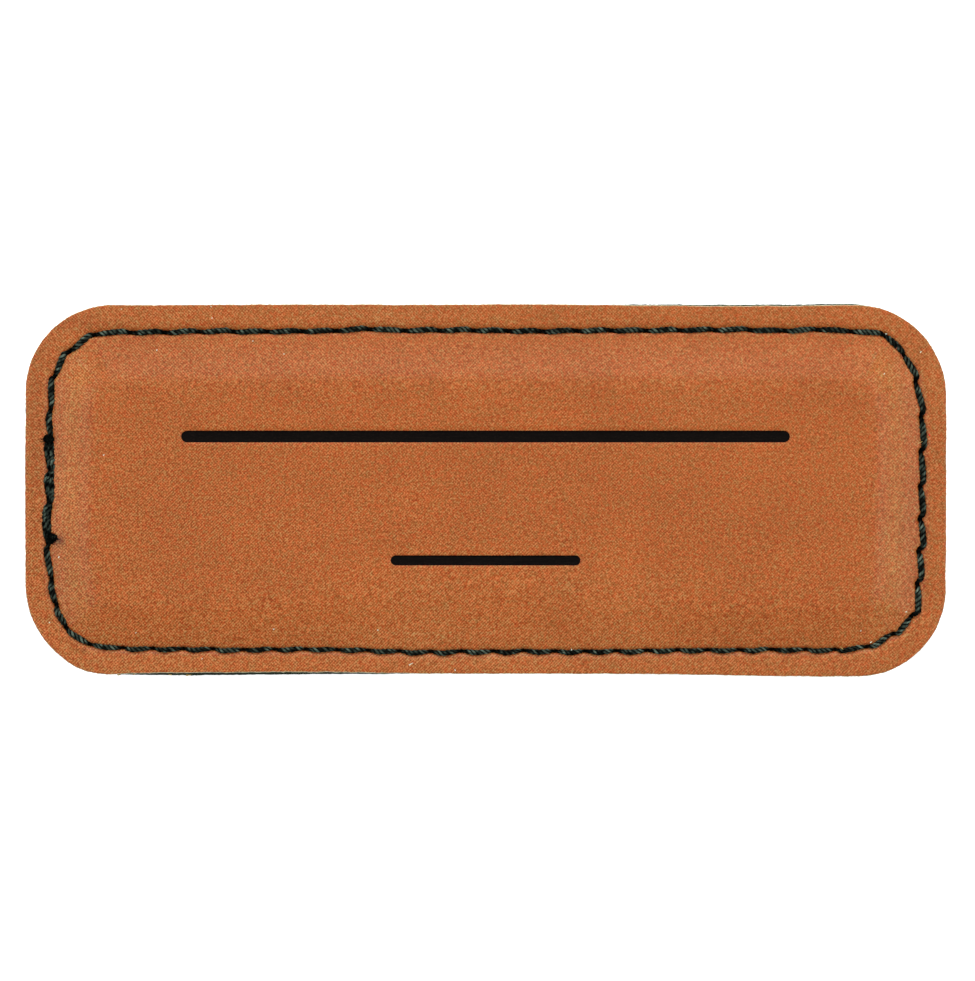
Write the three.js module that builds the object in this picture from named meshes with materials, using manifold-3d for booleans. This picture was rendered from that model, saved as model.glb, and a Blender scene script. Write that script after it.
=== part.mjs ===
import * as THREE from 'three';
import { mergeVertices } from 'three/addons/utils/BufferGeometryUtils.js';
import Module from 'manifold-3d';

// A sewn leatherette name badge, lying face up on its fastener. All sizes are in millimetres.
// X runs along the badge, Y across it and Z out of its face. The origin is on the surface that the badge
// lies on, under its middle.

const badgeWidth = 82.55;
const badgeHeight = 33.14;
const cornerRadius = 7.9;

const marginThickness = 1.1; // front panel, between its cut edge and the seam
const cutEdgeRound = 0.25;
const padRise = 0.9; // plateau above the margin
const seamInset = 2.3; // cut edge to seam
const seamDip = 0.4; // how far the thread pulls the panel down
const bevelWidth = 4; // seam to plateau

const engravingDepth = 0.15;
const nameRuleMargin = 7.7; // end of the plateau to the end of the rule
const nameRuleWidth = 1.05;
const titleRuleMargin = 26.5;
const titleRuleWidth = 0.9;

const backingThickness = 1;
const backingRound = 0.15;
const backingTurn = 0.25; // degrees that the backing lies crooked, anticlockwise from the front

const barLength = 45;
const barWidth = 13;
const barThickness = 4;
const barCornerRadius = 4;
const barChamfer = 0.5;

const layerGap = 0.1; // between one layer and the next
const cutterClearance = 1; // how far a cutter stands out of what it cuts
const arcSteps = 5;
const roundSteps = 2;

// The front panel's section, from its cut edge to its plateau. margin is a share of seamInset, bevel of
// bevelWidth, pad of padRise and dip of seamDip. edgeIn and edgeDown are shares of cutEdgeRound.
const panelSection = [
  { margin: 0, bevel: 0, pad: 0, dip: 0, edgeIn: 0, edgeDown: 1 },
  { margin: 0, bevel: 0, pad: 0, dip: 0, edgeIn: 0.3, edgeDown: 0.3 },
  { margin: 0, bevel: 0, pad: 0, dip: 0, edgeIn: 1, edgeDown: 0 },
  { margin: 0.6, bevel: 0, pad: 0, dip: 0.15, edgeIn: 0, edgeDown: 0 },
  { margin: 0.85, bevel: 0, pad: 0, dip: 0.6, edgeIn: 0, edgeDown: 0 },
  { margin: 1, bevel: 0, pad: 0, dip: 1, edgeIn: 0, edgeDown: 0 },
  { margin: 1, bevel: 0.1, pad: 0.12, dip: 0.5, edgeIn: 0, edgeDown: 0 },
  { margin: 1, bevel: 0.25, pad: 0.3, dip: 0.1, edgeIn: 0, edgeDown: 0 },
  { margin: 1, bevel: 0.8, pad: 0.88, dip: 0, edgeIn: 0, edgeDown: 0 },
  { margin: 1, bevel: 1, pad: 1, dip: 0, edgeIn: 0, edgeDown: 0 },
];

// The engraved rules. height is a share of the plateau's height, up from its middle.
const engravedRules = [
  { endMargin: nameRuleMargin, width: nameRuleWidth, height: 0.23 },
  { endMargin: titleRuleMargin, width: titleRuleWidth, height: -0.31 },
];

const plateauInset = seamInset + bevelWidth;
const plateauWidth = badgeWidth - 2 * plateauInset;
const plateauHeight = badgeHeight - 2 * plateauInset;
const plateauTop = marginThickness + padRise;

const wasm = await Module();
wasm.setup();

function roundedRectangle(width, height, radius) {
  const x = width / 2 - radius;
  const y = height / 2 - radius;
  const shape = new THREE.Shape();
  shape.absarc(x, y, radius, 0, Math.PI / 2);
  shape.absarc(-x, y, radius, Math.PI / 2, Math.PI);
  shape.absarc(-x, -y, radius, Math.PI, 1.5 * Math.PI);
  shape.absarc(x, -y, radius, 1.5 * Math.PI, 2 * Math.PI);
  return shape;
}

// A closed solid through outlines of equally many points, each at its own height, from the lowest up.
function loft(sections) {
  const rings = sections.map(({ outline, z }) => outline.getPoints(arcSteps).map((p) => [p.x, p.y, z]));
  const count = rings[0].length;
  const index = [];
  for (let ring = 0; ring + 1 < rings.length; ring++) {
    for (let i = 0; i < count; i++) {
      const low = ring * count;
      const high = low + count;
      const next = (i + 1) % count;
      index.push(low + i, low + next, high + next);
      index.push(low + i, high + next, high + i);
    }
  }
  const cap = (ring) => THREE.ShapeUtils.triangulateShape(ring.map(([x, y]) => new THREE.Vector2(x, y)), []);
  for (const [a, b, c] of cap(rings[0])) {
    index.push(c, b, a);
  }
  const top = (rings.length - 1) * count;
  for (const [a, b, c] of cap(rings.at(-1))) {
    index.push(top + a, top + b, top + c);
  }
  const geometry = new THREE.BufferGeometry();
  geometry.setAttribute('position', new THREE.Float32BufferAttribute(rings.flat(2), 3));
  geometry.setIndex(index);
  return geometry;
}

function toSolid(geometry) {
  const bare = geometry.clone();
  bare.deleteAttribute('normal');
  bare.deleteAttribute('uv');
  const merged = mergeVertices(bare);
  const vertProperties = new Float32Array(merged.attributes.position.array);
  const triVerts = new Uint32Array(merged.index.array);
  return new wasm.Manifold(new wasm.Mesh({ numProp: 3, vertProperties, triVerts }));
}

function toGeometry(solid) {
  const { vertProperties, triVerts } = solid.getMesh();
  const geometry = new THREE.BufferGeometry();
  geometry.setAttribute('position', new THREE.BufferAttribute(vertProperties, 3));
  geometry.setIndex(new THREE.BufferAttribute(triVerts, 1));
  geometry.computeVertexNormals();
  return geometry;
}

function panelRing({ margin, bevel, pad, dip, edgeIn, edgeDown }) {
  const inset = margin * seamInset + bevel * bevelWidth + edgeIn * cutEdgeRound;
  const outline = roundedRectangle(badgeWidth - 2 * inset, badgeHeight - 2 * inset, cornerRadius - inset);
  const z = marginThickness + pad * padRise - dip * seamDip - edgeDown * cutEdgeRound;
  return { outline, z };
}

// Cuts a long plain groove with round ends into the plateau.
function ruleCutter({ endMargin, width, height }) {
  const outline = roundedRectangle(plateauWidth - 2 * endMargin, width, width / 2);
  const depth = engravingDepth + cutterClearance;
  const cutter = new THREE.ExtrudeGeometry(outline, { depth, bevelEnabled: false, curveSegments: arcSteps });
  return cutter.translate(0, height * plateauHeight, plateauTop - engravingDepth);
}

function makeFrontPanel() {
  const foot = { outline: roundedRectangle(badgeWidth, badgeHeight, cornerRadius), z: 0 };
  const panel = loft([foot, ...panelSection.map(panelRing)]);
  const cutters = engravedRules.map((rule) => toSolid(ruleCutter(rule)));
  return toGeometry(cutters.reduce((solid, cutter) => solid.subtract(cutter), toSolid(panel)));
}

// A flat slab whose edges are rounded by the given amount inside its outline.
function slab(width, height, radius, thickness, round) {
  return new THREE.ExtrudeGeometry(roundedRectangle(width, height, radius), {
    depth: thickness - 2 * round,
    bevelThickness: round,
    bevelSize: round,
    bevelOffset: -round,
    bevelSegments: roundSteps,
    curveSegments: arcSteps,
  }).translate(0, 0, round);
}

const leatherette = new THREE.MeshStandardMaterial({ color: 0xb2663b, roughness: 0.75, metalness: 0 });
const darkLeatherette = new THREE.MeshStandardMaterial({ color: 0x1b201c, roughness: 0.8, metalness: 0 });
const mattePlastic = new THREE.MeshStandardMaterial({ color: 0x202123, roughness: 0.5, metalness: 0 });

const magnetBar = new THREE.Mesh(
  slab(barLength, barWidth, barCornerRadius, barThickness, barChamfer),
  mattePlastic,
);
magnetBar.name = 'magnet_bar';

const backing = new THREE.Mesh(
  slab(badgeWidth, badgeHeight, cornerRadius, backingThickness, backingRound),
  darkLeatherette,
);
backing.name = 'backing';
backing.position.z = barThickness + layerGap;
backing.rotation.z = THREE.MathUtils.degToRad(backingTurn);

const frontPanel = new THREE.Mesh(makeFrontPanel(), leatherette);
frontPanel.name = 'front_panel';
frontPanel.position.z = backing.position.z + backingThickness + layerGap;

const badge = new THREE.Group();
badge.add(magnetBar, backing, frontPanel);

export default badge;
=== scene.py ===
import math
from functools import cached_property

import bpy
import numpy as np
from mathutils.geometry import delaunay_2d_cdt
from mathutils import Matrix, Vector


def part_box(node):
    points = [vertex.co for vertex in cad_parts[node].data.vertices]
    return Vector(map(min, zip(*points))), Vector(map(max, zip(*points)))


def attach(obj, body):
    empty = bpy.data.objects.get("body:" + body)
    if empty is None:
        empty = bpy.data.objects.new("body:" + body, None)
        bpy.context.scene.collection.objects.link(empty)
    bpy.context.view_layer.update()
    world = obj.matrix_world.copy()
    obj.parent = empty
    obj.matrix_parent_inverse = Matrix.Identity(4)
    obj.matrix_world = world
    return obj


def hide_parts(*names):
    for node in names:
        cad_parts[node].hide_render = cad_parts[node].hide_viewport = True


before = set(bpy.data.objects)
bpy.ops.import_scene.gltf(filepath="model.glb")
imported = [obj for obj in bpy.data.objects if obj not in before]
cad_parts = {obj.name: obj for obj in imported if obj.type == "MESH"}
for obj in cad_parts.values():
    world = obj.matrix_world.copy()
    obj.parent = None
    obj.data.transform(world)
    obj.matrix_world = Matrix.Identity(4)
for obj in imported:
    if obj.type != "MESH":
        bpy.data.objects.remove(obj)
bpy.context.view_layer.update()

# Shapes are worked out in millimetres in the part's own frame, and become metres when a mesh is made.
MM = 0.001

# The photograph's frame, in its pixels: how wide it is, and where the middle of the badge lies in it.
PHOTO_WIDTH_PX = 975
PHOTO_HEIGHT_PX = 981
BADGE_MIDDLE_PX = (485.5, 489.3)
BADGE_WIDTH_PX = 920.5


def node_box_mm(node):
    low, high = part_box(node)
    return np.array(low) / MM, np.array(high) / MM


def table(columns, *rows):
    """Rows under named columns."""
    return [dict(zip(columns, row)) for row in rows]


PANEL_LOW, PANEL_HIGH = node_box_mm("front_panel")
BACKING_LOW, BACKING_HIGH = node_box_mm("backing")
BAR_LOW, BAR_HIGH = node_box_mm("magnet_bar")
BADGE_WIDTH, BADGE_HEIGHT = (PANEL_HIGH - PANEL_LOW)[:2]
MM_PER_PX = BADGE_WIDTH / BADGE_WIDTH_PX

# The front panel's section, as in the CAD source.
PAD_RISE = 0.9
MARGIN_TOP = PANEL_HIGH[2] - PAD_RISE
CUT_EDGE_ROUND = 0.08
CUT_FLARE = 0.042 # how far the cut wall leans outwards below its edge
MARGIN_TILT = 0.1 # how far the margin has sunk beside the seam
MARGIN_TILT_REACH = 0.75
SEAM_GROOVE = 0.16
SEAM_GROOVE_REACH = 0.2
SEAM_GROOVE_REACH_OUT = 0.4
HOLE_DEPTH = 0.25
HOLE_REACH = 0.2
WAVE_COUNT = 7
WAVE_SPREAD = (0.6, 1.6)
PLATEAU_WAVE = 0.015
PLATEAU_WAVE_LENGTH = 9
PLATEAU_WAVE_START = 5 # from the seam inwards

# The pad's slope on each side of the badge: how wide it is, and how its height grows from the seam. Above 1
# the slope steepens away from the seam, and below 1 it flattens.
SLOPES = {
    "right": {"width": 3.7, "growth": 1.25},
    "top": {"width": 4.5, "growth": 1.3},
    "left": {"width": 3.4, "growth": 1.1},
    "bottom": {"width": 3.5, "growth": 0.8},
}
SLOPE_SOFTNESS = 0.16
SAG_MIDDLE = -1.0 # where the bottom slope is gentler, along the badge
SAG_REACH = 14.0
SAG_WIDTH = 2.2

# Radii of the corners as cut, from the top right one anticlockwise.
CORNER_RADII = (8.15, 7.95, 8.1, 7.8)
# Where an edge strays from straight: its side, the middle and half length of the stretch, and how far out.
BOW_COLUMNS = ("side", "middle", "reach", "out")
EDGE_BOWS = table(
    BOW_COLUMNS,
    ("bottom", -36.0, 2.5, 0.2),
    ("bottom", -30.5, 5.0, -0.04),
    ("bottom", -18.0, 11.0, -0.225),
    ("bottom", 6.0, 9.0, -0.04),
    ("bottom", 31.0, 10.0, 0.22),
    ("right", 6.0, 5.0, 0.07),
    ("top", -27.0, 9.0, -0.05),
    ("top", 23.0, 11.0, -0.15),
    ("left", 7.3, 2.4, -0.05),
)
BACKING_BOWS = table(
    BOW_COLUMNS,
    ("top", 22.0, 5.0, -0.05),
    ("bottom", -27.0, 4.0, 0.03),
    ("bottom", -20.0, 4.0, -0.025),
    ("bottom", -33.0, 3.0, -0.05),
    ("top", 31.0, 7.0, -0.06),
    ("left", 7.3, 2.4, 0.06),
)
SIDE_WAYS = {"right": (1, 0), "top": (0, 1), "left": (-1, 0), "bottom": (0, -1)}
OUTLINE_STEP = 0.16
# The waves of a cut edge: their length, how far out they go and what is added to the edge's seed.
CUT_WAVES = table(
    ("length", "out", "seed"),
    (14, 0.05, 0),
    (3, 0.03, 3),
    (1.1, 0.02, 1),
)
CUT_FUZZ = 0.008
CUT_ROUGHNESS = 0.012
WOBBLE_REACH = 1.8 # from a cut edge to where it no longer shapes the rings
WALL_RINGS = 7
WALL_FOOT = 0.03 # the wall's lowest ring, as a share of its height
FLARE_REACH = 0.25 # the top share of the wall over which it leans out
FOOT_INSET = 3.0 # how far the hidden side of a sheet is followed inwards
FOOT_ROUND = 0.1
RING_RANGES = ((0.3, 1.5, 0.15), (1.5, 3.3, 0.09), (3.3, 6.9, 0.3)) # the face's rings: from, to and step
RING_INSETS = np.concatenate([np.arange(*ends) for ends in RING_RANGES])
PLATEAU_GRID = 0.5

ENGRAVING_DEPTH = 0.15
ENGRAVED_FROM = 0.2 # share of that depth from which the sheet is burnt
# The rings of a rule's wall: how far outside its edge they lie, and the share of its depth.
RULE_RINGS = table(("grow", "depth"), (0.07, 0.0), (0.0, 0.25), (-0.05, 0.9), (-0.11, 1.0))
RULE_STEP = 0.15
RULE_CLEARANCE = 0.2 # from a rule's edge to the plateau's nearest other points
RULES = table(
    ("half_length", "half_width", "centre_y"),
    (27.25, 0.525, 4.72),
    (8.5, 0.45, -6.37),
)

BACKING_TURN = math.radians(0.25)
BACKING_RADII = (8.6, 7.9, 8.6, 7.9)
BACKING_ROUND = 0.15
BACKING_STEP = 0.2
BACKING_INSETS = np.concatenate([[0.05, BACKING_ROUND], np.arange(0.3, 3.9, 0.12), [5.0]])
BACK_CURL = 0.12 # how far the seam lifts the back of the sheet
BACK_CURL_REACH = 1.5
BACK_DIP_SHARE = 0.8 # how deep the seam is pulled into the back, as a share of its groove on the front

BAR_CORNER = 4.0
BAR_EDGE = 0.5
BAR_STEP = 0.5

# The seam's holes in the photograph, clockwise from the top left. Each run goes on to the next run's start
# in equal stitches. swing is how far they bow outwards, peak the share of a stitch at which they are
# farthest out, growth how slowly they leave the holes' line, and tuck how far they first lean inwards.
SEAM_RUNS_PX = table(
    ("start", "stitches", "swing", "peak", "growth", "tuck"),
    ((95.1, 334.8), 1, 2.1, 0.72, 0.7, 0.0),
    ((131.5, 332.7), 3, 1.5, 0.75, 1.6, 0.4),
    ((233.9, 331.7), 3, 0.6, 0.75, 2.0, 0.5),
    ((335.9, 330.9), 1, 1.5, 0.75, 1.6, 0.2),
    ((370.6, 329.3), 1, 0.4, 0.50, 1.0, 0.0),
    ((405.2, 330.7), 2, 1.5, 0.70, 1.4, 0.3),
    ((474.4, 330.6), 1, 0.8, 0.55, 1.4, 0.3),
    ((508.6, 330.9), 4, 0.9, 0.70, 2.0, 0.5),
    ((646.2, 330.7), 1, 1.1, 0.70, 1.6, 0.3),
    ((680.8, 330.4), 2, 1.4, 0.80, 1.6, 0.2),
    ((750.0, 330.1), 1, 0.4, 0.70, 1.8, 0.4),
    ((784.7, 330.7), 1, 1.1, 0.85, 1.8, 0.6),
    ((817.5, 329.8), 1, 0.8, 0.55, 0.7, 0.0),
    ((850.4, 331.4), 1, 2.3, 0.80, 1.1, 0.0),
    ((885.3, 335.8), 1, 2.0, 0.78, 0.6, 0.0),
    ((903.6, 355.3), 1, 3.4, 0.80, 0.9, 0.0),
    ((915.6, 382.3), 1, 3.3, 0.78, 0.9, 0.2),
    ((921.0, 417.3), 2, 3.8, 0.82, 0.6, 0.0),
    ((920.1, 486.8), 1, 4.0, 0.80, 0.6, 0.0),
    ((919.6, 519.1), 2, 4.4, 0.78, 0.5, 0.0),
    ((917.1, 583.6), 1, 5.6, 0.80, 0.7, 0.0),
    ((911.2, 616.6), 1, 3.7, 0.82, 1.0, 0.0),
    ((893.0, 633.9), 1, 3.2, 0.74, 1.6, 0.8),
    ((867.0, 646.7), 1, 2.2, 0.76, 1.6, 0.4),
    ((835.0, 649.3), 1, 1.8, 0.60, 0.9, 0.0),
    ((805.6, 649.4), 1, 1.3, 0.58, 1.4, 0.2),
    ((772.1, 649.5), 1, 1.5, 0.55, 2.4, 0.8),
    ((738.5, 649.7), 3, 1.5, 0.52, 1.0, 0.0),
    ((647.1, 650.3), 6, 1.8, 0.50, 1.2, 0.0),
    ((461.1, 651.0), 1, 2.1, 0.58, 1.3, 0.0),
    ((430.0, 651.4), 1, 2.3, 0.58, 0.8, 0.0),
    ((399.3, 651.0), 1, 1.5, 0.60, 1.2, 0.0),
    ((367.9, 650.3), 2, 0.6, 0.66, 2.0, 0.5),
    ((305.7, 649.2), 2, 0.8, 0.70, 2.0, 0.8),
    ((243.5, 649.6), 4, 1.7, 0.66, 1.4, 0.0),
    ((122.8, 647.7), 1, 1.7, 0.55, 0.8, 0.0),
    ((89.7, 644.3), 1, 2.1, 0.76, 0.8, 0.0),
    ((66.0, 627.5), 1, 2.6, 0.70, 1.7, 0.3),
    ((56.5, 604.8), 1, 1.9, 0.60, 0.7, 0.0),
    ((51.4, 578.6), 1, 3.2, 0.80, 0.9, 0.3),
    ((48.6, 543.5), 3, 1.5, 0.60, 1.0, 0.0),
    ((50.8, 437.5), 1, 2.3, 0.66, 1.1, 0.0),
    ((50.5, 409.2), 1, 3.8, 0.84, 1.3, 0.4),
    ((55.0, 375.2), 1, 3.7, 0.78, 1.0, 0.2),
    ((69.7, 351.0), 1, 2.9, 0.80, 1.5, 0.4),
)
BACKTACK_START_PX = (48.6, 543.5)

# The two threads that lie side by side where the seam begins and ends, going up. full is 0 in a hole and 1
# where the thread has its whole thickness.
BACKTACK_PX = (
    table(
        ("at", "full"),
        ((47.6, 546.0), 0),
        ((48.6, 538.0), 1),
        ((48.6, 529.0), 1),
        ((47.9, 520.0), 1),
        ((48.6, 510.0), 1),
        ((50.6, 503.0), 0.3),
        ((52.0, 498.0), 1),
        ((52.1, 488.0), 1),
        ((51.2, 477.5), 1),
        ((52.8, 470.0), 0.3),
        ((52.1, 464.0), 1),
        ((52.3, 455.5), 1),
        ((51.2, 446.5), 1),
        ((51.0, 439.0), 0),
    ),
    table(
        ("at", "full"),
        ((48.0, 543.0), 0),
        ((46.4, 536.0), 1),
        ((44.6, 523.5), 1),
        ((45.0, 510.0), 1),
        ((48.0, 504.0), 0),
        ((50.0, 499.0), 1),
        ((48.2, 492.0), 1),
        ((46.0, 479.0), 1),
        ((50.6, 470.5), 0),
        ((49.8, 466.0), 1),
        ((48.2, 459.0), 1),
        ((46.2, 447.5), 1),
        ((49.6, 440.0), 0),
    ),
)

# The two cut and melted thread ends: middle, half size along and across the badge, height over the sheet,
# and which way most of their loose fibres point.
KNOTS_PX = table(
    ("at", "reach", "rise_mm", "way", "fibres", "seed"),
    ((48.5, 438.9), (6.7, 5.4), 0.5, -1, 330, 51),
    ((52.4, 538.2), (8.2, 6.2), 0.55, 1, 430, 52),
)

# Places on the sheet: their middle, their half size along and across it, and how much they differ.
PLACE_COLUMNS = ("at", "reach", "share")
# Where it is darker: painted shadow beside the two knots, painted shade between the doubled threads, small
# dark spots beside the seam and darker patches on the margin.
SHADOWS_AND_DARK_SPOTS_PX = table(
    PLACE_COLUMNS,
    # painted shadows beside the knots, and painted shade between the doubled threads
    ((60.0, 540.5), (4.6, 4.8), 0.7),
    ((49.6, 471.0), (3.4, 3.0), 0.9),
    ((49.4, 504.5), (3.0, 2.6), 0.9),
    ((55.4, 439.5), (2.2, 3.0), 0.35),
    # small dark spots beside the seam
    ((928.6, 443.4), (1.7, 1.7), 0.35),
    ((928.2, 476.0), (1.6, 1.6), 0.3),
    ((83.5, 650.3), (3.0, 2.0), 0.35),
    # darker patches on the margin
    ((35.5, 430.0), (8.5, 100.0), 0.17),
    ((46.0, 345.0), (15.0, 18.0), 0.12),
    ((72.0, 321.0), (32.0, 10.0), 0.16),
    ((36.0, 520.0), (9.0, 18.0), 0.16),
)

# Where it is paler: painted highlights and sheen, mostly on the pad's slopes and margins.
PAINTED_HIGHLIGHTS_PX = table(
    PLACE_COLUMNS,
    ((76, 367), (20, 31), 1.0),
    ((891, 367), (30, 27), 0.9),
    ((880, 614), (32, 24), 0.5),
    ((934, 372), (9, 26), 0.8),
    ((620, 607), (48, 34), 0.9),
    ((440, 612), (80, 42), 0.55),
    ((540, 585), (70, 42), 0.45),
    ((470, 658), (110, 10), 0.5),
    ((385, 318), (75, 11), 0.75),
    ((695, 400), (40, 60), 0.35),
    ((890, 550), (15, 48), 0.75),
)

# Specks of lint of each colour: length and half thickness in millimetres, and turn in degrees.
LINT_COLUMNS = ("at", "length", "thick", "turn")
LINT_PX = {
    "white": table(
        LINT_COLUMNS,
        ((274, 629), 0.14, 0.058, 20),
        ((59, 557), 0.16, 0.058, 60),
        ((411, 664), 0.42, 0.045, 30),
        ((455, 670), 0.16, 0.05, 110),
        ((378, 630), 0.14, 0.05, 0),
        ((157, 350), 0.16, 0.05, 80),
        ((104.5, 455), 0.14, 0.05, 45),
        ((253, 341), 0.13, 0.05, 10),
        ((284, 354), 0.12, 0.045, 130),
        ((212, 318), 0.12, 0.045, 70),
        ((906.3, 611.7), 0.16, 0.05, 35),
        ((870.9, 642.2), 0.18, 0.05, 20),
        ((860.5, 630.6), 0.12, 0.045, 90),
        ((886.2, 334.0), 0.16, 0.06, 0),
        ((920.8, 352.0), 0.16, 0.05, 50),
        ((884.0, 373.8), 0.14, 0.05, 50),
        ((49.5, 622.5), 0.15, 0.05, 50),
        ((136.2, 632.6), 0.12, 0.036, 30),
        ((121.3, 309.1), 0.11, 0.034, 90),
        ((211.3, 306.6), 0.12, 0.045, 0),
        ((202.1, 658.7), 0.12, 0.045, 60),
        ((571.5, 649.5), 0.16, 0.05, 100),
    ),
    "red": table(
        LINT_COLUMNS,
        ((929.5, 434.8), 0.2, 0.09, 100),
    ),
    "straw": table(
        LINT_COLUMNS,
        ((921.5, 441.8), 0.75, 0.03, 28),
        ((841.5, 648.0), 0.35, 0.03, 140),
        ((118.2, 675.2), 0.3, 0.085, 0),
        ((133.2, 675.0), 0.16, 0.06, 20),
        ((169.2, 675.0), 0.28, 0.07, 170),
        ((188.0, 675.5), 0.45, 0.085, 5),
    ),
    "rust": table(
        LINT_COLUMNS,
        ((897.5, 347.5), 0.32, 0.05, 40),
        ((901.5, 356.0), 0.45, 0.045, 118),
    ),
}
LINT_TONES = {
    "white": (222, 238, 216),
    "red": (226, 62, 38),
    "straw": (196, 168, 104),
    "rust": (158, 84, 62),
}

THREAD_RADIUS = 0.258
THREAD_LINK_RADIUS = 0.18
THREAD_PITCH = 1.3
BACKTACK_PITCH = 1.5
THREAD_PLIES = 3
THREAD_STEP = 0.075
THREAD_SIDES = 8
THREAD_LIFT = 0.12
THREAD_CROWN = 0.04
# how brightly the doubled threads are painted lit
BACKTACK_GLOW = 0.85
THREAD_SINK = 0.06
THREAD_TAPER = 2.5 # how late a stitch thins towards its holes
THREAD_RIM = 0.5 # from a hole to where the thread lies on the sheet
SIDE_THICKNESS = 0.15 # how much fatter the thread lies on the badge's two short sides
BOTTOM_LINK = 0.45 # how much thinner it is between its stitches along the bottom
BOTTOM_THINNESS = 0.07 # and along them
BACKTACK_THICKNESS = 1.08
# How the doubled stitches are painted lit and shaded: shares of their length, and how bright they are
# there.
BACKTACK_GLOW_SHARES = (0.1, 0.25, 0.6, 1)
BACKTACK_GLOWS = (1, 1, 0.35, 0.2)
BACK_DOUBLE_SHIFT = (0.42, 0.15, -0.02) # from the back's thread to the one sewn beside it
PLY_SHARE = 1 / (1 + 2 / math.sqrt(3)) # radius of one of three plies that touch, as a share of the thread's
PLY_OVERLAP = 1.16
HOLE_SLIP = (0.06, 0.035) # how far a hole strays along the seam and across it
SWING_SPREAD = (0.85, 1.15)
# How the twist of the thread speeds up and slows down: how far, in how many cycles, and from where.
TWIST_SLACKS = table(("size", "cycles", "start"), (0.35, 9, 1), (0.3, 23, 0))
PLY_UNEVEN = 0.03
PLY_SWELL = 0.05
PLY_SWELL_WAVE = 3.1
PLY_PATCH_STEP = 7.3 # keeps the lit patches of one ply apart from another's
BACKTACK_SOFTENINGS = 4
BACKTACK_SOFTENING = (0.25, 0.5, 0.25)
BACKTACK_RISE = 1.25
TUCK_SHARE = 0.45 # share of a stitch over which it may lean inwards
LINE_SHARES = (0.0, 0.3, 0.6, 0.85) # where the line that the seam's groove follows is worked out
# How a stitch catches the light: shares of its length, and how bright it is there.
GLOW_SHARES = (0.0, 0.08, 0.13, 0.2, 0.3, 0.42, 0.55, 0.68, 0.8, 0.9, 1.0)
GLOWS = (0.0, 0.05, 0.35, 1.0, 0.75, 0.4, 0.5, 0.85, 0.6, 0.05, 0.0)

CAMERA_LENS = 200
CAMERA_SENSOR = 36
CAMERA_CLIP = (0.01, 50)
FLOOR_SIZE = 6.0
FLOOR_GLOW = 0.55
# Soft lights: azimuth and elevation in degrees, distance and size in metres, power in watts.
LIGHTS = table(
    ("name", "azimuth", "elevation", "distance", "size", "power"),
    ("light_top", 90, 42, 1.0, 0.5, 8.5),
    ("light_left", 180, 57, 1.0, 0.4, 4.0),
    ("light_right", 0, 57, 1.0, 0.4, 4.0),
)
# How bright the surroundings are, low at the horizon and high up.
WORLD_LEVELS = (0.1, 0.5)
WORLD_STRENGTHS = (0.95, 0.35)

FIBRE_RINGS = 6
FIBRE_SIDES = 4
FIBRE_TAPER = 0.6
KNOT_LIFT = 0.05
# A knot's fibres: where they start as a share of its size, how long and thick they are, how strongly the
# wound and the loose ones bend back, how the loose ones lean, and which of them are loose.
FIBRE_DEPTHS = (0.55, 0.92)
FIBRE_LENGTHS = (0.15, 0.34)
FIBRE_THICKNESSES = (0.025, 0.045)
WOUND_BEND = 0.55
LOOSE_BEND = 0.1
LOOSE_PULL = 0.9
LOOSE_LEAN = 0.6
LOOSE_EVERY = 9
# How a knot's fibres are painted lit: their crest, how bright most of them are, how bright a painted glint
# is and the share of fibres that have one.
FIBRE_CREST = 0.95
FIBRE_GLOW = 0.08
FIBRE_GLINT = 0.6
FIBRE_GLINT_SHARE = 0.1
LINT_BEND = (0.0, 0.0, -0.1)
EDGE_CRUMB_REACH = 0.05 # from an edge to where specks hang on it
END_SHEEN_PEAK = 6.75 # makes the painted sheen on the pad's end slopes 1 where it is strongest
SLOPE_SHEEN = 0.9 # how pale the painted sheen makes the slope, and how much more so towards the badge's low side
SLOPE_SHEEN_LEAN = 0.7
PART = 8000 # how many points are worked on at a time

rng = np.random.default_rng(11)


def photo_point(px, py):
    """Where a pixel of the photograph lies on the badge's face."""
    x = (px - BADGE_MIDDLE_PX[0]) * MM_PER_PX
    y = (BADGE_MIDDLE_PX[1] - py) * MM_PER_PX
    return np.array([x, y])


def smoothstep(t):
    t = np.clip(t, 0, 1)
    return t * t * (3 - 2 * t)


def waves(x, y, length, seed):
    """Gentle irregular waves of about one length over a surface, from -1 to 1."""
    draw = np.random.default_rng(seed)
    total = np.zeros(np.broadcast(x, y).shape)
    for _ in range(WAVE_COUNT):
        turn, phase = draw.uniform(0, 2 * math.pi, 2)
        k = 2 * math.pi / (length * draw.uniform(*WAVE_SPREAD))
        total = total + np.sin(k * (x * math.cos(turn) + y * math.sin(turn)) + phase)
    return total / WAVE_COUNT


def seam_stitches():
    """The seam's holes and the shape of the stitch from each, clockwise from above."""
    holes, stitches = [], []
    for i, run in enumerate(SEAM_RUNS_PX):
        start = photo_point(*run["start"])
        end = photo_point(*SEAM_RUNS_PX[(i + 1) % len(SEAM_RUNS_PX)]["start"])
        along = (end - start) / np.linalg.norm(end - start)
        outward = np.array([-along[1], along[0]])
        for k in range(run["stitches"]):
            slip = np.zeros(2)
            if run["stitches"] > 2:
                by, aside = rng.normal(0, 1, 2) * np.array(HOLE_SLIP)
                slip = along * by + outward * aside
            holes.append(start + (end - start) * k / run["stitches"] + slip * (k > 0))
            stitches.append(
                {
                    "swing": run["swing"] * MM_PER_PX * rng.uniform(*SWING_SPREAD),
                    "tuck": run["tuck"] * MM_PER_PX,
                    "peak": run["peak"],
                    "growth": run["growth"],
                    "backtack": run["start"] == BACKTACK_START_PX,
                }
            )
    return np.array(holes), stitches


HOLES, STITCHES = seam_stitches()
NEXT_HOLES = np.roll(HOLES, -1, axis=0)


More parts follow.
